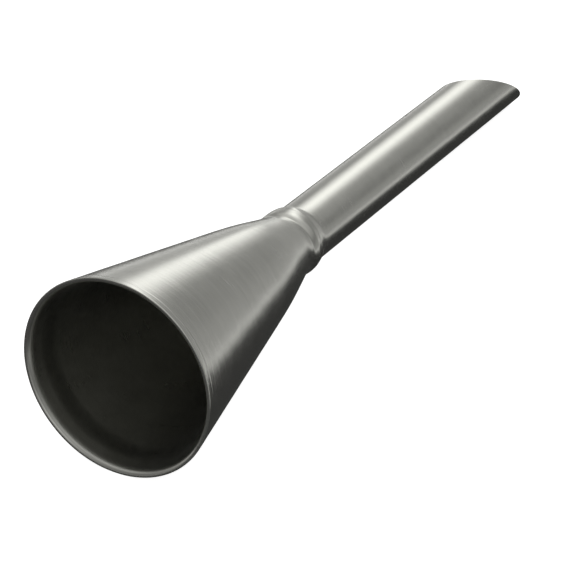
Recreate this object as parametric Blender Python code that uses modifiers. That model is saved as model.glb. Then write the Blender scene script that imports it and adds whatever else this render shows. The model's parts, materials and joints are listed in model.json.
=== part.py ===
"""Long filling nozzle of thin stainless steel: a cone with a folded lip, a straight tube, and the braze
that joins them.

Every piece is turned about the nozzle's own axis. "Along" is the distance from the mouth plane along that
axis, towards the tip. The nozzle lies on the plane z = 0 as it does on a table, touching it with the lowest
point of the lip and the lowest point of the tip, so its axis slopes down from the mouth, which faces -Y, to
the tip at +Y. The origin is the centre of the underside of the bounding box.
"""

import math

import bpy
from mathutils import Euler, Vector

MM = 0.001

# Cone
MOUTH_RADIUS = 12.5 * MM  # outside of the lip
WAIST_RADIUS = 6.46 * MM  # outside of the cone where its wall turns a little steeper
WAIST_ALONG = 30.67 * MM
WAIST_REACH = 3.0 * MM  # how far each way from the waist the turn is spread
CONE_END_RADIUS = 4.36 * MM
CONE_END = 38.67 * MM
SHEET = 0.4 * MM

# Neck: the socket at the cone's small end, which stands a little proud of it
NECK_RADIUS = 4.57 * MM
NECK_START = 39.07 * MM
NECK_END = 41.07 * MM
SEAT_ALONG = 38.95 * MM  # the shoulder inside, which the tube is pushed against

# Lip: the sheet's edge folded inward on itself
LIP_HEIGHT = 0.1 * MM  # how far along the axis the lip's outer corner is taken off
LIP_BREAK = 0.08 * MM  # how far inward the same corner is taken off
LIP_FLAT = 0.2 * MM  # width of the ring that the lip is worn flat on
HEM = 0.67 * MM  # thickness of the two layers behind the lip
HEM_FULL = 1.0 * MM  # where the inside, rounded from the lip inward, reaches that thickness
FOLD_DEPTH = 2.3 * MM  # how far the folded edge reaches into the mouth
FOLD_LEAN = 0.12 * MM  # how far the folded edge's cut face leans along the axis

# Tube
TUBE_RADIUS = 4.05 * MM
TUBE_BORE_RADIUS = 3.59 * MM
CUT_MIDDLE = 98.87 * MM  # where the slanted cut crosses the axis
CUT_ANGLE = math.radians(29.05)  # between the cut face and the axis
CUT_TURN = math.radians(36.9)  # the cut's long side, turned from straight down towards +X

# Braze
FILM_START = 39.27 * MM
BEAD_SHOULDER = 4.53 * MM  # radius of the bead at the neck's end
BEAD_ROUNDNESS = 1.3  # 1 would make its slope down to the tube straight
BEAD_FOOT = 42.77 * MM  # where the slope meets the tube
FOOT_HEIGHT = 0.08 * MM
BEAD_END = 43.77 * MM  # where the thin edge beyond the foot runs out
EDGE_HEIGHT = 0.04 * MM
RUNNING_GAP = 0.02 * MM  # left between each two pieces that touch

SIDES = 64
HALF_SIDE = math.pi / SIDES  # turns every piece so that a flat side lies on the plane below
WAIST_STEPS = 5
LIP_STEPS = 5
BEAD_STEPS = 5

STEEL = (0.46, 0.46, 0.43)
BRAZE = (0.44, 0.43, 0.40)


def clear_scene():
    for thing in list(bpy.data.objects):
        bpy.data.objects.remove(thing)


def steel_material(name, colour, roughness):
    material = bpy.data.materials.new(name)
    material.use_nodes = True
    shader = material.node_tree.nodes["Principled BSDF"]
    shader.inputs["Base Color"].default_value = (*colour, 1.0)
    shader.inputs["Metallic"].default_value = 1.0
    shader.inputs["Roughness"].default_value = roughness
    return material


def eased(corner, start, end, steps):
    """A soft turn from start to end in place of a sharp corner."""
    points = []
    for step in range(steps + 1):
        share = step / steps
        points.append(start * (1 - share) ** 2 + corner * 2 * share * (1 - share) + end * share ** 2)
    return points


def cone_wall():
    """The outside of the cone from its small end down to the lip, as (radius, along)."""
    small_end = Vector((CONE_END_RADIUS, CONE_END))
    waist = Vector((WAIST_RADIUS, WAIST_ALONG))
    mouth = Vector((MOUTH_RADIUS, LIP_HEIGHT))
    above = waist + (small_end - waist).normalized() * WAIST_REACH
    below = waist + (mouth - waist).normalized() * WAIST_REACH
    return [tuple(point) for point in [small_end] + eased(waist, above, below, WAIST_STEPS) + [mouth]]


def inset(points, depth):
    """Each point of an outline moved in square to the outline by depth, along the outline's right side."""
    moved = []
    for number, (radius, along) in enumerate(points):
        before = points[max(number - 1, 0)]
        after = points[min(number + 1, len(points) - 1)]
        run = Vector((after[0] - before[0], after[1] - before[1])).normalized()
        moved.append((radius + run.y * depth, along - run.x * depth))
    return moved


def lip_outline():
    """From the outside of the lip, over its flat ring and up the rounded inside of the folded sheet."""
    slope = (MOUTH_RADIUS - WAIST_RADIUS) / (WAIST_ALONG - LIP_HEIGHT)
    hem_radius = MOUTH_RADIUS - HEM + slope * LIP_HEIGHT  # of the inside, carried on to the mouth
    ring = MOUTH_RADIUS - LIP_BREAK
    inner_corner = Vector((hem_radius, 0.0))
    hem_full = Vector((hem_radius - slope * HEM_FULL, HEM_FULL))
    inner = eased(inner_corner, Vector((ring - LIP_FLAT, 0.0)), hem_full, LIP_STEPS)
    fold_radius = hem_radius - slope * FOLD_DEPTH
    fold_edge = [(fold_radius, FOLD_DEPTH), (fold_radius + HEM - SHEET, FOLD_DEPTH + FOLD_LEAN)]
    return [(MOUTH_RADIUS, LIP_HEIGHT), (ring, 0.0)] + [tuple(point) for point in inner] + fold_edge


def cone_outline():
    wall = cone_wall()
    inside = list(reversed(inset(wall[:-1], SHEET)))
    bore = TUBE_RADIUS + 5 * RUNNING_GAP
    seat = [(inside[-1][0], SEAT_ALONG), (bore, SEAT_ALONG)]
    neck = [(bore, NECK_END), (NECK_RADIUS, NECK_END), (NECK_RADIUS, NECK_START)]
    return wall[:-1] + lip_outline() + inside + seat + neck


def braze_outline():
    inner = TUBE_RADIUS + RUNNING_GAP
    film = TUBE_RADIUS + 4 * RUNNING_GAP
    bead_start = NECK_END + RUNNING_GAP
    foot_radius = TUBE_RADIUS + FOOT_HEIGHT
    bead = []
    for step in range(BEAD_STEPS, -1, -1):
        share = step / BEAD_STEPS
        radius = foot_radius + (BEAD_SHOULDER - foot_radius) * (1 - share ** BEAD_ROUNDNESS)
        bead.append((radius, bead_start + (BEAD_FOOT - bead_start) * share))
    edge = [(inner, BEAD_END), (TUBE_RADIUS + EDGE_HEIGHT, BEAD_END)]
    return edge + bead + [(film, bead_start), (film, FILM_START), (inner, FILM_START)]


def turned(name, outline, axis_empty, material, collection):
    """A ring-shaped body: the closed outline of (radius, along) points turned about the nozzle's axis."""
    mesh = bpy.data.meshes.new(name)
    count = len(outline)
    mesh.from_pydata(
        [(radius, 0.0, along) for radius, along in outline],
        [(number, (number + 1) % count) for number in range(count)],
        [],
    )
    mesh.materials.append(material)
    piece = bpy.data.objects.new(name, mesh)
    collection.objects.link(piece)
    piece.parent = axis_empty
    piece.rotation_euler.z = HALF_SIDE
    screw = piece.modifiers.new("turned", "SCREW")
    screw.axis = "Z"
    screw.angle = math.tau
    screw.steps = SIDES
    screw.render_steps = SIDES
    screw.use_merge_vertices = True
    screw.merge_threshold = 1e-6
    screw.use_smooth_shade = True
    return piece


def cut_height(x, y):
    """How far along the axis the slanted cut lies at the point x, y beside the axis."""
    return CUT_MIDDLE + (x * math.sin(CUT_TURN) + y * math.cos(CUT_TURN)) / math.tan(CUT_ANGLE)


def make_cutter(axis_empty, collection):
    """A block whose face, square to its own Z axis, is the slanted cut, and which covers all beyond it."""
    side = 8 * TUBE_RADIUS
    bpy.ops.mesh.primitive_cube_add(size=side)
    cutter = bpy.context.object
    cutter.name = "tip_cutter"
    for holder in list(cutter.users_collection):
        holder.objects.unlink(cutter)
    collection.objects.link(cutter)
    reach = 1 / math.tan(CUT_ANGLE)
    outward = Vector((-reach * math.sin(CUT_TURN), -reach * math.cos(CUT_TURN), 1.0)).normalized()
    cutter.parent = axis_empty
    cutter.rotation_euler = outward.to_track_quat("Z", "Y").to_euler()
    cutter.location = Vector((0.0, 0.0, CUT_MIDDLE)) + outward * side / 2
    cutter.display_type = "WIRE"
    cutter.hide_render = True
    return cutter


def resting_slope():
    """The angle at which the lip's lowest flat side and the tip's lowest corner share one level."""
    down = math.cos(HALF_SIDE)
    tip_along = cut_height(TUBE_RADIUS * math.sin(HALF_SIDE), TUBE_RADIUS * down)
    return math.atan((MOUTH_RADIUS - TUBE_RADIUS) * down / (tip_along - LIP_HEIGHT))


def place_axis(axis_empty, wall):
    """Lays the axis down so that the nozzle touches z = 0 and is centred over the origin."""
    slope = resting_slope()
    axis_empty.rotation_euler = Euler((-math.pi / 2 - slope, 0.0, 0.0))
    turn = axis_empty.rotation_euler.to_matrix()
    angles = [HALF_SIDE * (2 * side + 1) for side in range(SIDES)]
    around = [(math.cos(angle), math.sin(angle)) for angle in angles]
    tip = [(x * TUBE_RADIUS, y * TUBE_RADIUS) for x, y in around]
    corners = [Vector((x, y, cut_height(x, y))) for x, y in tip]
    corners += [Vector((x * radius, y * radius, along)) for x, y in around for radius, along in wall]
    placed = [turn @ corner for corner in corners]
    middle = (max(point.y for point in placed) + min(point.y for point in placed)) / 2
    axis_empty.location = Vector((0.0, -middle, -min(point.z for point in placed)))


def main():
    clear_scene()
    parts = bpy.data.collections.new("filling_nozzle")
    cutters = bpy.data.collections.new("cutters")
    for collection in (parts, cutters):
        bpy.context.scene.collection.children.link(collection)
    axis_empty = bpy.data.objects.new("nozzle_axis", None)
    parts.objects.link(axis_empty)

    cone = cone_outline()
    turned("cone_shell", cone, axis_empty, steel_material("cone_steel", STEEL, 0.34), parts)

    tube_start = SEAT_ALONG + RUNNING_GAP
    beyond_cut = cut_height(0.0, 0.0) + 2 * TUBE_RADIUS / math.tan(CUT_ANGLE)
    tube_outline = [
        (TUBE_RADIUS, beyond_cut),
        (TUBE_RADIUS, tube_start),
        (TUBE_BORE_RADIUS, tube_start),
        (TUBE_BORE_RADIUS, beyond_cut),
    ]
    tube = turned("outlet_tube", tube_outline, axis_empty, steel_material("tube_steel", STEEL, 0.3), parts)
    slant = tube.modifiers.new("slanted_cut", "BOOLEAN")
    slant.operation = "DIFFERENCE"
    slant.object = make_cutter(axis_empty, cutters)

    turned("braze_ring", braze_outline(), axis_empty, steel_material("braze", BRAZE, 0.38), parts)
    place_axis(axis_empty, cone)


main()
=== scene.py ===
"""Looks of the long filling nozzle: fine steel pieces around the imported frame, floor, light and camera.

Lengths in the outlines are in millimetres and are turned into metres when a mesh is made. "Along" is the
distance from the mouth plane along the nozzle's axis, and an angle of 0 points along local +X. In the
pieces' local space +Z runs along the axis towards the tip, and +Y points down at the floor.
"""

import json
import math

import bmesh
import bpy
from mathutils import Matrix, Vector, noise


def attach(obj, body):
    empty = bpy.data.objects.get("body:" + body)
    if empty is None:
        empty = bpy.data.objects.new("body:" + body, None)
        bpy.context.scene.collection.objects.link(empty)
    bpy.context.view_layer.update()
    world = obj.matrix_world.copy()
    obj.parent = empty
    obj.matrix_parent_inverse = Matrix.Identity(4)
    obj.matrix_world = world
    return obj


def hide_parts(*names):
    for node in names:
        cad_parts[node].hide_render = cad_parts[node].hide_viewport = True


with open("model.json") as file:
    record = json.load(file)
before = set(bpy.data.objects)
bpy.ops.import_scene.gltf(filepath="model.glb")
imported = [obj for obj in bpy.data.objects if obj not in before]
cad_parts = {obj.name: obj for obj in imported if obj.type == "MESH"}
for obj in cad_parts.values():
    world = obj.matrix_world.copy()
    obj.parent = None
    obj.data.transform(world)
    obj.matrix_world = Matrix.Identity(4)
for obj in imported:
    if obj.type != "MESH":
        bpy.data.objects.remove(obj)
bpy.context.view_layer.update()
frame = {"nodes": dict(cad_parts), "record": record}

MM = 0.001
RING_TOLERANCE = 0.01 * MM  # how far from the mouth plane a corner may lie and still count as on it
SHARP_ANGLE = math.radians(50)  # edges that turn by more are shaded as sharp

# Waves: slow unevenness from smooth noise
SEED_SPACING = 7.3  # how far apart in the noise two seeds are
WAVE_GAIN = 1.6  # brings the noise to about -1 to 1

# Cone
MOUTH_RADIUS = 12.5  # outside of the lip
WAIST_RADIUS = 6.46  # outside of the cone where its wall turns a little steeper
WAIST_ALONG = 30.67
WAIST_REACH = 3.0  # how far each way from the waist the turn is spread
CONE_END_RADIUS = 4.36
CONE_END = 38.67
SHEET = 0.4  # thickness of the wall
OUTER_WAVE = 0.006  # height of the waves in the outside
OUTER_WAVE_LENGTH = 3.0
INNER_WAVE = 0.004
INNER_WAVE_LENGTH = 4.0
CONE_SIDES = 320

# Neck
NECK_RADIUS = 4.57
NECK_END = 41.07
NECK_BORE = 4.15
NECK_BREAK = 0.02  # how far the corner at the neck's end is taken off along the axis, and half as far inward
NECK_ROUNDING = 0.03  # how far the neck draws in at its end
NECK_ROUND_LENGTH = 0.7
SEAT_ALONG = 38.95  # the shoulder inside, which the tube is pushed against
WALL_LEVELS = 38.6  # where the cone stops narrowing, ahead of the step up to the neck
LEVELLING = 0.3  # how softly it does

# Step up from the cone to the neck: it runs askew around the axis, with a crease at its start
STEP_MIDDLE = 38.75
STEP_LEAN = 0.65
STEP_TURN = math.radians(15)  # where around the axis the step starts furthest along
STEP_WANDER = 0.06
STEP_LENGTH = 1.2
STEP_FINE = 0.7  # how far ahead of the cone's end the closely spaced rings reach
CREASE_DEPTH = 0.006
CREASE_EXTRA = 0.034  # added to the depth on the crease's own side
CREASE_OFFSET = 0.05  # how far beyond the step's start the crease is deepest
CREASE_WIDTH = 0.26

# Sides of the collar: the angle of a side's middle, and the cosines from it at its edge and where it is full
FILED_SIDE = (math.radians(-42), 0.60, 0.95)
CREASE_SIDE = (math.radians(-48), 0.55, 0.95)
DRESSED_SIDE = (math.radians(-75), 0.3, 0.9)
FILED_DEPTH = 0.13
FILED_START = 0.5  # how far beyond the step's start the filing begins

# Lip: the sheet's edge folded inward on itself
LIP_HEIGHT = 0.1  # how far along the axis the lip's outer corner is taken off
LIP_BREAK = 0.08  # how far inward the same corner is taken off
LIP_FLAT = 0.13  # width of the ring that the lip is worn flat on
LIP_STEPS = 4
NICK_DEPTH = 0.012
HEM = 0.67  # thickness of the two layers behind the lip
HEM_FULL = 1.0  # where the inside, rounded from the lip inward, reaches that thickness
HEM_STEPS = 14
FOLD_DEPTH = 2.3  # how far the folded edge reaches into the mouth
FOLD_WANDER = 0.10
FADE_BEFORE = 0.4  # the fold's step fades from this far ahead of its end
FADE_BEYOND = 2.6  # to this far beyond it
INSIDE_START = 0.1  # how far beyond the rounding the first ring of the inside is
INSIDE_FINE = 3.0  # how far beyond the fold's end the closely spaced rings reach

# Hem line: a shallow groove around the outside of the lip, with a low ridge beyond it
HEM_ALONG = 0.9
HEM_LINE_DEPTH = 0.014
HEM_LINE_WIDTH = 0.09
HEM_RIDGE_HEIGHT = 0.006
HEM_RIDGE_OFFSET = 0.25
HEM_RIDGE_WIDTH = 0.16
HEM_FINE_BEFORE = 0.2  # how far each way from the line the closely spaced rings reach
HEM_FINE_BEYOND = 0.4

# Tube
TUBE_RADIUS = 4.05
TUBE_BORE = 3.59
TUBE_START = 38.97
TUBE_BREAK = 0.05  # how far the corners at the tube's start are taken off
TUBE_WAVE = 0.004
TUBE_WAVE_LENGTH = 6.0
TUBE_SIDES = 224
CUT_MIDDLE = 98.87  # where the slanted cut crosses the axis
CUT_REACH = 1 / math.tan(math.radians(29.05))  # how much further along the cut is, for each step across
CUT_TURN = math.radians(36.9)  # the cut's long side, turned from straight down towards +X
CUT_FILLET = 0.12
CUT_FILLET_STEPS = 5
BORE_FILLET = 0.6  # the bore's fillet at the cut, as a share of the outside's
BORE_FILLET_STEPS = 4
TIP_LENGTH = 10.0  # how far ahead of the cut's middle the rings stop being square to the axis
SCUFF_ALONG = 78.67
SCUFF_DEPTH = 0.014
SCUFF_WIDTH = 0.32
SCUFF_LEAN = 0.3
SCUFF_TURN = 0.6

# Braze
FILM_START = 39.27
FILM_RADIUS = 4.13
BEAD_SHOULDER = 4.53  # radius of the bead at the neck's end
BEAD_ROUNDNESS = 1.3  # 1 would make its slope down to the tube straight
DRESSED_ROUNDNESS = 1.6  # added where the bead is dressed but not filed
FILED_ROUNDNESS = 0.2  # taken off where it is filed
BEAD_FOOT = 42.77  # where the slope meets the tube
DRESSED_FOOT = 0.3  # how much sooner it does where the bead is dressed
FOOT_HEIGHT = 0.045
EDGE_LEAD = 0.3  # how far ahead of the foot the braze starts to thin
THIN_EDGE = 0.015  # its height where it runs out
BEAD_END = 43.77
END_WANDER = 0.2
BEAD_WAVE = 0.006
LUMP_HEIGHT = 0.006
LUMPS_ALONG = 2.5
BEAD_STEPS = 32
BEAD_SOFTNESS = (-0.32, -0.16, 0.0, 0.16, 0.32)  # the slope is averaged over these distances along the axis
GAP = 0.02  # left between the neck and the bead, and half of it between the braze and the tube

# Steel
STEEL_COLOUR = (0.60, 0.60, 0.565, 1.0)
NOISE_RANGE = (0.3, 0.7)  # where most values of a noise texture lie
LINE_TONES = (0.985, 1.01)
STAIN_TONES = (0.96, 1.02)
RIPPLE_TONES = (0.985, 1.015)
LINE_ROUGHNESS = 0.03
STAIN_ROUGHNESS = (-0.02, 0.03)
INSIDE_ROUGHNESS = 0.08  # added on the bore
INSIDE_RELIEF = 0.3  # share of the lines and ripples that is left on the bore
WAVE_DEPTH = 0.010
FACING = (-0.35, 0.1)  # cosines between the normal and straight out that count as the bore and as outside

# Studio: heights are the sine of the elevation, and ahead is +Y, from the mouth towards the tip
ROOM_LEVELS = (  # (height, brightness) from straight down, past the table's edge, to straight up
    (-1.0, 0.045), (-0.26, 0.045), (-0.21, 0.42), (-0.155, 1.2), (-0.11, 0.52), (-0.03, 0.42),
    (0.10, 0.44), (0.25, 0.29), (0.36, 0.30), (0.50, 0.42), (0.72, 0.55), (1.0, 0.70),
)
TABLE_TILT = 0.28  # how much lower the same brightness lies, for each step towards +X
LEFT_GAIN = 0.16  # how much brighter the -X side of the room is
BEHIND_RANGE = (-0.1, -0.6)  # where ahead turns into behind, the side that the mouth faces
BEHIND_LEVEL = 0.4  # share of the room's brightness that is left behind
FILL_LEVEL = 0.06  # even light that is added behind
LAMP_WAY = (0.27, -0.81, 0.34)  # the way to the lamp, in front of the mouth and above it
LAMP_FOCUS = 14.0  # a higher number makes the lamp smaller
LAMP_LEVEL = 0.8
WINDOW_LEVEL = 1.25
WINDOW_MIDDLE = math.radians(-24.7)  # turned from +Y towards +X, at the horizon
WINDOW_LEAN = 0.40  # how far the middle moves towards +X as it rises
WINDOW_WIDTH = 0.012  # at the horizon
WINDOW_SPREAD = 0.48  # how much wider it gets as it rises
WINDOW_NARROWEST = 0.03
WINDOW_SILL = (-0.08, 0.07)
WINDOW_HEAD = (0.85, 0.6)
LIGHT_TINT = (1.0, 1.0, 0.98, 1.0)
BACKDROP = (0.95, 0.95, 0.95, 1.0)

# Floor
FLOOR_SIZE = 2.0
FLOOR_DROP = 0.02 * MM  # how far it lies below z = 0
FLOOR_COLOUR = (0.8, 0.8, 0.8, 1.0)
FLOOR_ROUGHNESS = 0.9
FLOOR_GLOW = 0.86

# Camera
CAMERA_FROM_MOUTH = Vector((118.93, -173.629, 143.896)) * MM
CAMERA_AZIMUTH = math.radians(29.084)
CAMERA_ELEVATION = math.radians(32.15)
CAMERA_LENS = 140.6
CAMERA_SENSOR = 36.0
CAMERA_CLIP = 0.01

# Sockets of a mix node that are read by place, because their names repeat
MIX_FIRST = 6
MIX_SECOND = 7
MIX_RESULT = 2


# ---------------------------------------------------------------- where the nozzle lies

def nozzle_matrix():
    """Local space to the frame: the mouth's centre, with +Z along the axis and +Y down."""
    rim = next(mount for mount in frame["record"]["mounts"] if mount["name"] == "mouth_rim")
    axis = -Vector(rim["axis"]).normalized()
    corners = [vertex.co for vertex in frame["nodes"]["cone_shell"].data.vertices]
    nearest = min(corner.dot(axis) for corner in corners)
    ring = [corner for corner in corners if corner.dot(axis) < nearest + RING_TOLERANCE]
    xs = [corner.x for corner in ring]
    centre = axis * nearest
    centre += Vector(((min(xs) + max(xs)) / 2, 0.0, 0.0))
    side = Vector((1.0, 0.0, 0.0))
    down = axis.cross(side)
    depths = [corner.dot(down) for corner in ring]
    centre += down * (min(depths) + max(depths)) / 2
    turn = Matrix((side, down, axis)).transposed()
    return Matrix.Translation(centre) @ turn.to_4x4()


PLACE = nozzle_matrix()


# ---------------------------------------------------------------- outlines, as (radius, along)

def spread(start, end, count):
    """Count evenly spaced values from start towards end, without the last."""
    return [start + (end - start) * number / count for number in range(count)]


def rounded(start, corner, end, steps):
    """A soft corner from start to end, pulled towards the corner."""
    points = []
    for number in range(steps + 1):
        share = number / steps
        spot = start * (1 - share) ** 2 + corner * 2 * share * (1 - share) + end * share ** 2
        points.append((spot.x, spot.y))
    return points


def wavy(seed, angle, along=0.0, turns=1.0):
    """A smooth number of about -1 to 1 that closes on itself around the axis."""
    spot = Vector((turns * math.cos(angle), turns * math.sin(angle), along + SEED_SPACING * seed))
    return noise.noise(spot) * WAVE_GAIN


def hump(distance, width):
    """1 at no distance, falling away smoothly on both sides."""
    return math.exp(-((distance / width) ** 2))


def ease(value, low, high):
    """0 below low, 1 above high, and a smooth rise between them."""
    share = min(max((value - low) / (high - low), 0.0), 1.0)
    return share * share * (3 - 2 * share)


def on_side(angle, middle, edge, full):
    """1 around the middle angle and 0 away from it. Edge and full are cosines of the angle between."""
    return ease(math.cos(angle - middle), edge, full)


def filed(angle):
    """How much of the collar has been filed down towards the tube: 1 on the upper +X side, 0 elsewhere."""
    return on_side(angle, *FILED_SIDE)


def wall_radius(along):
    """The cone's outside: two straight stretches with a soft turn at the waist."""
    below = (WAIST_RADIUS - MOUTH_RADIUS) / (WAIST_ALONG - LIP_HEIGHT)
    above = (CONE_END_RADIUS - WAIST_RADIUS) / (CONE_END - WAIST_ALONG)
    past = along - WAIST_ALONG
    turned = min(max(past + WAIST_REACH, 0.0), 2 * WAIST_REACH)
    bend = turned ** 2 / (4 * WAIST_REACH) + max(past - WAIST_REACH, 0.0)
    return WAIST_RADIUS + below * past + (above - below) * bend


def outside(angle, along):
    """The cone and neck as made: the wall, the soft step up to the neck, the hem line and slight waves."""
    start = STEP_MIDDLE + STEP_LEAN * math.cos(angle - STEP_TURN) + STEP_WANDER * wavy(2, angle, turns=1.5)
    up = ease(along, start, start + STEP_LENGTH)
    ahead = (WALL_LEVELS - along) / LEVELLING
    short = (max(ahead, 0.0) + math.log1p(math.exp(-abs(ahead)))) * LEVELLING
    radius = wall_radius(WALL_LEVELS - short) * (1 - up) + NECK_RADIUS * up
    crease = CREASE_DEPTH + CREASE_EXTRA * on_side(angle, *CREASE_SIDE)
    radius -= crease * hump(along - start - CREASE_OFFSET, CREASE_WIDTH)
    radius -= NECK_ROUNDING * ease(along, NECK_END - NECK_ROUND_LENGTH, NECK_END)
    share = (along - start - FILED_START) / (NECK_END - start - FILED_START)
    radius -= FILED_DEPTH * filed(angle) * min(max(share, 0.0), 1.0)
    radius -= HEM_LINE_DEPTH * hump(along - HEM_ALONG, HEM_LINE_WIDTH)
    radius += HEM_RIDGE_HEIGHT * hump(along - HEM_ALONG - HEM_RIDGE_OFFSET, HEM_RIDGE_WIDTH)
    radius += OUTER_WAVE * wavy(3, angle, along / OUTER_WAVE_LENGTH)
    return radius


def cone_outline(angle):
    """The cone with its neck and folded lip: down the outside, over the lip and back up the inside."""
    nick = NICK_DEPTH * abs(wavy(4, angle, turns=5.0))
    step_fine = CONE_END - STEP_FINE
    alongs = spread(NECK_END - NECK_BREAK, step_fine, count=44)
    alongs += spread(step_fine, HEM_ALONG + HEM_FINE_BEYOND, count=80)
    alongs += spread(HEM_ALONG + HEM_FINE_BEYOND, HEM_ALONG - HEM_FINE_BEFORE, count=12)
    alongs += spread(HEM_ALONG - HEM_FINE_BEFORE, LIP_HEIGHT, count=4)
    outer = [(outside(angle, along), along) for along in alongs]

    slope = (MOUTH_RADIUS - WAIST_RADIUS) / (WAIST_ALONG - LIP_HEIGHT)
    hem_radius = MOUTH_RADIUS - HEM + slope * LIP_HEIGHT  # of the inside, carried on to the mouth
    ring = MOUTH_RADIUS - LIP_BREAK
    edge = outside(angle, LIP_HEIGHT)
    lip = rounded(Vector((edge, LIP_HEIGHT)), Vector((edge, nick)), Vector((ring, nick)), LIP_STEPS)
    hem_full = Vector((hem_radius - slope * HEM_FULL, HEM_FULL))
    lip += rounded(Vector((ring - LIP_FLAT, nick)), Vector((hem_radius, nick)), hem_full, HEM_STEPS)

    fold_end = FOLD_DEPTH + FOLD_WANDER * wavy(5, angle, turns=1.6)
    inside_fine = fold_end + INSIDE_FINE
    alongs = spread(HEM_FULL + INSIDE_START, inside_fine, count=36)
    alongs += spread(inside_fine, CONE_END, count=56)
    inside = []
    for along in alongs:
        sheet = wall_radius(along) - SHEET + INNER_WAVE * wavy(6, angle, along / INNER_WAVE_LENGTH)
        past = ease(along, fold_end - FADE_BEFORE, fold_end + FADE_BEYOND)
        inside.append(((hem_radius - slope * along) * (1 - past) + sheet * past, along))
    inside.append((wall_radius(CONE_END) - SHEET, SEAT_ALONG))
    neck_edge = outside(angle, NECK_END) - NECK_BREAK / 2
    return outer + lip + inside + [(NECK_BORE, SEAT_ALONG), (NECK_BORE, NECK_END), (neck_edge, NECK_END)]


def tube_wall(angle, along):
    """The tube's outside, with slight waves and one scuff."""
    radius = TUBE_RADIUS + TUBE_WAVE * wavy(7, angle, along / TUBE_WAVE_LENGTH)
    lean = SCUFF_LEAN * math.cos(angle - SCUFF_TURN)
    return radius - SCUFF_DEPTH * hump(along - SCUFF_ALONG - lean, SCUFF_WIDTH)


def tube_outline(angle):
    """The tube: up the outside to the slanted cut, over its rim and back along the bore."""
    lean = CUT_REACH * math.cos(angle - math.pi / 2 + CUT_TURN)
    outer_corner = Vector((TUBE_RADIUS, CUT_MIDDLE + lean * TUBE_RADIUS))
    inner_corner = Vector((TUBE_BORE, CUT_MIDDLE + lean * TUBE_BORE))
    across = (inner_corner - outer_corner).normalized()
    start = TUBE_START + TUBE_BREAK
    straight_end = CUT_MIDDLE - TIP_LENGTH
    last = outer_corner.y - CUT_FILLET
    alongs = spread(start, straight_end, count=90) + spread(straight_end, last, count=12)
    outer = [(tube_wall(angle, along), along) for along in alongs]

    rim_start = Vector((TUBE_RADIUS, last))
    rim = rounded(rim_start, outer_corner, outer_corner + across * CUT_FILLET, CUT_FILLET_STEPS)
    bore_start = inner_corner - across * CUT_FILLET * BORE_FILLET
    bore_end = Vector((TUBE_BORE, inner_corner.y - CUT_FILLET * BORE_FILLET))
    rim += rounded(bore_start, inner_corner, bore_end, BORE_FILLET_STEPS)

    bore = [(TUBE_BORE, along) for along in spread(straight_end, start, count=16) + [start]]
    end = [(TUBE_BORE + TUBE_BREAK, TUBE_START), (TUBE_RADIUS - TUBE_BREAK, TUBE_START)]
    return outer + rim + bore + end


def braze_outline(angle):
    """The thin sleeve inside the neck, the round-shouldered bead beyond it, and the bead's thin edge."""
    inner = TUBE_RADIUS + 0.5 * GAP
    start = NECK_END + GAP
    dressed = on_side(angle, *DRESSED_SIDE)
    filing = filed(angle)
    foot = BEAD_FOOT - DRESSED_FOOT * dressed
    roundness = BEAD_ROUNDNESS + DRESSED_ROUNDNESS * dressed * (1 - filing) - FILED_ROUNDNESS * filing
    end = BEAD_END + END_WANDER * wavy(11, angle, turns=2.4)
    shoulder = BEAD_SHOULDER + BEAD_WAVE * wavy(9, angle, turns=2.2) - FILED_DEPTH * filing
    bead = []
    for number in range(BEAD_STEPS + 1):
        along = start + (end - start) * number / BEAD_STEPS
        near = [(along + shift - start) / (foot - start) for shift in BEAD_SOFTNESS]
        fall = sum(1 - min(max(share, 0.0), 1.0) ** roundness for share in near) / len(near)
        slope = (shoulder - TUBE_RADIUS - FOOT_HEIGHT) * fall
        edge = THIN_EDGE + (FOOT_HEIGHT - THIN_EDGE) * (1 - ease(along, foot - EDGE_LEAD, end))
        down = min((along - start) / (foot - start), 1.0)
        lump = LUMP_HEIGHT * wavy(10, angle, down * LUMPS_ALONG, turns=3.0) * math.sin(math.pi * down)
        bead.append((TUBE_RADIUS + edge + slope + lump, along))
    film = [(inner, FILM_START), (FILM_RADIUS, FILM_START), (FILM_RADIUS, start)]
    return film + bead + [(inner, end)]


# ---------------------------------------------------------------- meshes

def turned_piece(name, outline, sides):
    """A closed ring-shaped mesh from an outline that may change with the angle, laid in its place."""
    mesh = bpy.data.meshes.new(name)
    form = bmesh.new()
    rings = []
    for number in range(sides):
        angle = math.tau * number / sides
        cosine = math.cos(angle) * MM
        sine = math.sin(angle) * MM
        rings.append([form.verts.new((r * cosine, r * sine, along * MM)) for r, along in outline(angle)])
    for number, ring in enumerate(rings):
        following = rings[(number + 1) % sides]
        for place, corner in enumerate(ring):
            after = (place + 1) % len(ring)
            form.faces.new((corner, ring[after], following[after], following[place]))
    bmesh.ops.recalc_face_normals(form, faces=form.faces[:])
    bmesh.ops.transform(form, matrix=PLACE, verts=form.verts[:])
    form.to_mesh(mesh)
    form.free()
    mesh.shade_smooth()
    mesh.set_sharp_from_angle(angle=SHARP_ANGLE)
    piece = bpy.data.objects.new(name, mesh)
    bpy.context.scene.collection.objects.link(piece)
    return piece


# ---------------------------------------------------------------- materials

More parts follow.
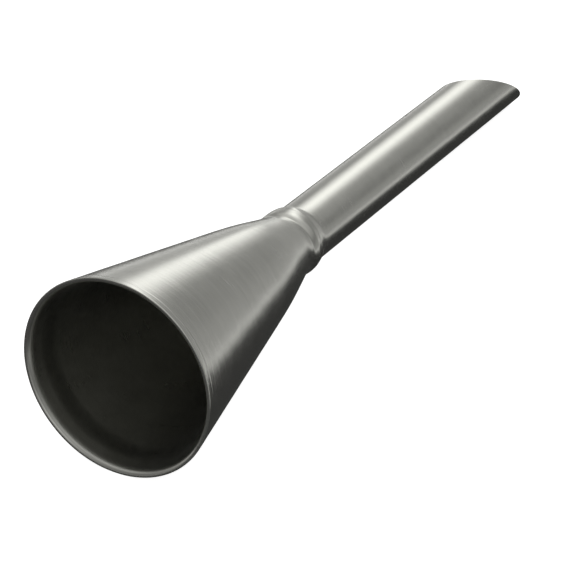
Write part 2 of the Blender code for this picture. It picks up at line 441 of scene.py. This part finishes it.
class Shading:
    """Adds nodes to one node tree and wires them."""

    def __init__(self, tree):
        self.tree = tree

    def add(self, kind, **settings):
        node = self.tree.nodes.new(kind)
        for name, value in settings.items():
            setattr(node, name, value)
        return node

    def put(self, socket, value):
        if isinstance(value, bpy.types.NodeSocket):
            self.tree.links.new(value, socket)
        else:
            socket.default_value = value

    def math(self, operation, first, second=0.0, third=0.0):
        node = self.add("ShaderNodeMath", operation=operation)
        for socket, value in zip(node.inputs, (first, second, third)):
            self.put(socket, value)
        return node.outputs[0]

    def vector(self, operation, first, second=(0.0, 0.0, 0.0)):
        node = self.add("ShaderNodeVectorMath", operation=operation)
        self.put(node.inputs[0], first)
        self.put(node.inputs[1], second)
        return node.outputs["Value" if operation == "DOT_PRODUCT" else "Vector"]

    def join(self, *values):
        """A vector from one to three values. The rest are 0."""
        node = self.add("ShaderNodeCombineXYZ")
        for socket, value in zip(node.inputs, values):
            self.put(socket, value)
        return node.outputs[0]

    def noise(self, where, scale, detail, roughness):
        node = self.add("ShaderNodeTexNoise")
        self.put(node.inputs["Vector"], where)
        self.put(node.inputs["Scale"], scale)
        self.put(node.inputs["Detail"], detail)
        self.put(node.inputs["Roughness"], roughness)
        return node.outputs["Fac"]

    def remap(self, value, low, high, to_low, to_high, interpolation="LINEAR"):
        node = self.add("ShaderNodeMapRange", interpolation_type=interpolation)
        for socket, number in zip(node.inputs, (value, low, high, to_low, to_high)):
            self.put(socket, number)
        return node.outputs[0]

    def smooth(self, value, low, high, to_low=0.0, to_high=1.0):
        return self.remap(value, low, high, to_low, to_high, "SMOOTHSTEP")

    def mix(self, blend, factor, first, second):
        node = self.add("ShaderNodeMix", data_type="RGBA", blend_type=blend)
        self.put(node.inputs["Factor"], factor)
        self.put(node.inputs[MIX_FIRST], first)
        self.put(node.inputs[MIX_SECOND], second)
        return node.outputs[MIX_RESULT]


def around_axis(shading):
    """The direction straight out from the axis, in local x and y, and the distance from the mouth."""
    here = shading.add("ShaderNodeTexCoord").outputs["Object"]
    from_mouth = shading.vector("SUBTRACT", here, tuple(PLACE.translation))
    side, down, axis = (tuple(column) for column in PLACE.to_3x3().col)
    across = shading.vector("DOT_PRODUCT", from_mouth, side)
    below = shading.vector("DOT_PRODUCT", from_mouth, down)
    outward = shading.vector("NORMALIZE", shading.join(across, below))
    return outward, shading.vector("DOT_PRODUCT", from_mouth, axis)


def facing_out(shading, outward):
    """1 on the surfaces that face away from the axis and 0 on the bore."""
    side, down, _axis = (tuple(column) for column in PLACE.to_3x3().col)
    normal = shading.add("ShaderNodeNewGeometry").outputs["True Normal"]
    across = shading.vector("DOT_PRODUCT", normal, side)
    below = shading.vector("DOT_PRODUCT", normal, down)
    return shading.smooth(shading.vector("DOT_PRODUCT", shading.join(across, below), outward), *FACING)


def turned_noise(shading, place, around, along, detail, roughness, scale=1.0):
    """Noise stretched around the axis.

    Around and along are its cells in a radian and in a millimetre, at a scale of 1.
    """
    outward, distance = place
    wide = shading.vector("MULTIPLY", outward, (around, around, 0.0))
    long = shading.join(0.0, 0.0, shading.math("MULTIPLY", distance, along / MM))
    return shading.noise(shading.vector("ADD", wide, long), scale, detail, roughness)


def steel(name, roughness, fine, line_depth, ripple_depth, painted_bore_shade):
    """Satin steel with fine lines around the axis, and painted shade on the bore. Fine is the number of
    lines in a millimetre.
    """
    material = bpy.data.materials.new(name)
    material.use_nodes = True
    tree = material.node_tree
    shader = tree.nodes["Principled BSDF"]
    shading = Shading(tree)
    place = around_axis(shading)
    lines = turned_noise(shading, place, around=0.9, along=fine, detail=3.0, roughness=0.6)
    ripples = turned_noise(shading, place, around=0.8, along=2.2, detail=2.0, roughness=0.6)
    waves = turned_noise(shading, place, around=1.2, along=0.3, detail=1.0, roughness=0.4)
    stains = turned_noise(shading, place, around=2.4, along=0.22, detail=4.0, roughness=0.6, scale=1.3)
    outer = facing_out(shading, place[0])

    tone = shading.remap(lines, *NOISE_RANGE, *LINE_TONES)
    tone = shading.math("MULTIPLY", tone, shading.remap(stains, *NOISE_RANGE, *STAIN_TONES))
    tone = shading.math("MULTIPLY", tone, shading.remap(ripples, *NOISE_RANGE, *RIPPLE_TONES))
    # painted shade: the bore's colour is made darker, for the shade that falls inside the cone and the tube
    tone = shading.math("MULTIPLY", tone, shading.remap(outer, 0.0, 1.0, painted_bore_shade, 1.0))
    grey = shading.add("ShaderNodeCombineColor")
    for socket in grey.inputs:
        shading.put(socket, tone)
    shading.put(shader.inputs["Base Color"], shading.mix("MULTIPLY", 1.0, STEEL_COLOUR, grey.outputs[0]))

    rough = shading.remap(lines, *NOISE_RANGE, roughness - LINE_ROUGHNESS, roughness + LINE_ROUGHNESS)
    rough = shading.math("ADD", rough, shading.remap(stains, *NOISE_RANGE, *STAIN_ROUGHNESS))
    rough = shading.math("ADD", rough, shading.remap(outer, 0.0, 1.0, INSIDE_ROUGHNESS, 0.0))
    shading.put(shader.inputs["Roughness"], rough)
    shader.inputs["Metallic"].default_value = 1.0

    height = shading.math("MULTIPLY", lines, line_depth)
    height = shading.math("MULTIPLY_ADD", ripples, ripple_depth, height)
    height = shading.math("MULTIPLY", height, shading.remap(outer, 0.0, 1.0, INSIDE_RELIEF, 1.0))
    height = shading.math("MULTIPLY_ADD", waves, WAVE_DEPTH, height)
    bump = shading.add("ShaderNodeBump")
    bump.inputs["Strength"].default_value = 1.0
    bump.inputs["Distance"].default_value = MM
    shading.put(bump.inputs["Height"], height)
    shading.put(shader.inputs["Normal"], bump.outputs[0])
    return material


# ---------------------------------------------------------------- studio

def room_light(shading, sight, across, ahead, up):
    """The grey room with the table's pale edge, dimmer behind but for an even fill and one soft lamp."""
    room = shading.add("ShaderNodeValToRGB")
    ramp = room.color_ramp
    while len(ramp.elements) < len(ROOM_LEVELS):
        ramp.elements.new(0.5)
    for element, (height, level) in zip(ramp.elements, ROOM_LEVELS):
        element.position = (height + 1) / 2
        element.color = (level, level, level, 1.0)
    rise = shading.math("MULTIPLY_ADD", shading.math("MAXIMUM", across, 0.0), TABLE_TILT, up)
    shading.put(room.inputs[0], shading.math("MULTIPLY_ADD", rise, 0.5, 0.5))
    left = shading.math("MULTIPLY_ADD", across, -LEFT_GAIN, 1.0)
    level = shading.math("MULTIPLY", room.outputs[0], left)
    level = shading.math("MULTIPLY", level, shading.smooth(ahead, *BEHIND_RANGE, 1.0, BEHIND_LEVEL))
    behind = shading.smooth(ahead, *BEHIND_RANGE)
    level = shading.math("MULTIPLY_ADD", behind, FILL_LEVEL, level)
    toward_lamp = shading.vector("DOT_PRODUCT", sight, tuple(Vector(LAMP_WAY).normalized()))
    off_lamp = shading.math("SUBTRACT", toward_lamp, 1.0)
    lamp = shading.math("EXPONENT", shading.math("MULTIPLY", off_lamp, LAMP_FOCUS))
    return shading.math("MULTIPLY_ADD", lamp, LAMP_LEVEL, level)


def window_light(shading, across, ahead, up):
    """One tall window that leans and widens as it rises, with soft edges all round."""
    azimuth = shading.math("ARCTAN2", across, ahead)
    middle = shading.math("MULTIPLY_ADD", up, WINDOW_LEAN, WINDOW_MIDDLE)
    width = shading.math("MULTIPLY_ADD", up, WINDOW_SPREAD, WINDOW_WIDTH)
    width = shading.math("MAXIMUM", width, WINDOW_NARROWEST)
    ratio = shading.math("DIVIDE", shading.math("SUBTRACT", azimuth, middle), width)
    fall = shading.math("MULTIPLY", shading.math("MULTIPLY", ratio, ratio), -1.0)
    window = shading.math("EXPONENT", fall)
    window = shading.math("MULTIPLY", window, shading.smooth(up, *WINDOW_SILL))
    return shading.math("MULTIPLY", window, shading.smooth(up, *WINDOW_HEAD))


def make_world():
    """What the steel reflects. The camera itself sees a plain pale backdrop."""
    world = bpy.data.worlds.new("studio")
    bpy.context.scene.world = world
    world.use_nodes = True
    tree = world.node_tree
    shading = Shading(tree)
    background = tree.nodes["Background"]
    sight = shading.add("ShaderNodeTexCoord").outputs["Generated"]
    ways = shading.add("ShaderNodeSeparateXYZ")
    shading.put(ways.inputs[0], sight)
    across, ahead, up = ways.outputs
    level = room_light(shading, sight, across, ahead, up)
    window = window_light(shading, across, ahead, up)
    level = shading.math("MULTIPLY_ADD", window, WINDOW_LEVEL, level)
    studio = shading.mix("MULTIPLY", 1.0, LIGHT_TINT, level)
    to_camera = shading.add("ShaderNodeLightPath").outputs["Is Camera Ray"]
    shading.put(background.inputs["Color"], shading.mix("MIX", to_camera, studio, BACKDROP))
    background.inputs["Strength"].default_value = 1.0


def make_floor():
    """A pale table, lit from within so that only a faint shadow shows, and not reflected in the steel."""
    mesh = bpy.data.meshes.new("floor")
    form = bmesh.new()
    bmesh.ops.create_grid(form, x_segments=4, y_segments=4, size=FLOOR_SIZE)
    form.to_mesh(mesh)
    form.free()
    floor = bpy.data.objects.new("floor", mesh)
    bpy.context.scene.collection.objects.link(floor)
    floor.location.z = -FLOOR_DROP
    floor.visible_glossy = False
    material = bpy.data.materials.new("floor_white")
    material.use_nodes = True
    shader = material.node_tree.nodes["Principled BSDF"]
    shader.inputs["Base Color"].default_value = FLOOR_COLOUR
    shader.inputs["Roughness"].default_value = FLOOR_ROUGHNESS
    shader.inputs["Specular IOR Level"].default_value = 0.0
    shader.inputs["Emission Color"].default_value = (1.0, 1.0, 1.0, 1.0)
    shader.inputs["Emission Strength"].default_value = FLOOR_GLOW
    mesh.materials.append(material)


def make_camera():
    """The photo's view: a long lens, set out from the mouth's centre."""
    data = bpy.data.cameras.new("camera")
    data.lens = CAMERA_LENS
    data.sensor_width = CAMERA_SENSOR
    data.clip_start = CAMERA_CLIP
    camera = bpy.data.objects.new("camera", data)
    bpy.context.scene.collection.objects.link(camera)
    camera.location = PLACE.translation + CAMERA_FROM_MOUTH
    camera.rotation_euler = (math.pi / 2 - CAMERA_ELEVATION, 0.0, CAMERA_AZIMUTH)
    bpy.context.scene.camera = camera


# ---------------------------------------------------------------- the nozzle

def main():
    bpy.context.scene.view_settings.view_transform = "Standard"
    cone_steel = steel(
        "cone_satin_steel",
        roughness=0.225, fine=6.0, line_depth=0.0006, ripple_depth=0.016, painted_bore_shade=0.85,
    )
    tube_steel = steel(
        "tube_satin_steel",
        roughness=0.225, fine=5.0, line_depth=0.0005, ripple_depth=0.003, painted_bore_shade=0.85,
    )
    braze = steel(
        "polished_braze",
        roughness=0.24, fine=3.0, line_depth=0.0006, ripple_depth=0.005, painted_bore_shade=1.0,
    )
    pieces = [
        ("cone_sheet", cone_outline, CONE_SIDES, cone_steel, "cone_shell", "cone_steel"),
        ("filling_tube", tube_outline, TUBE_SIDES, tube_steel, "outlet_tube", "tube_steel"),
        ("braze_bead", braze_outline, TUBE_SIDES, braze, "braze_ring", "braze"),
    ]
    for name, outline, sides, material, node, slot in pieces:
        piece = turned_piece(name, outline, sides)
        piece.data.materials.append(material)
        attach(piece, "root")
        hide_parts(node)
    make_world()
    make_floor()
    make_camera()


main()
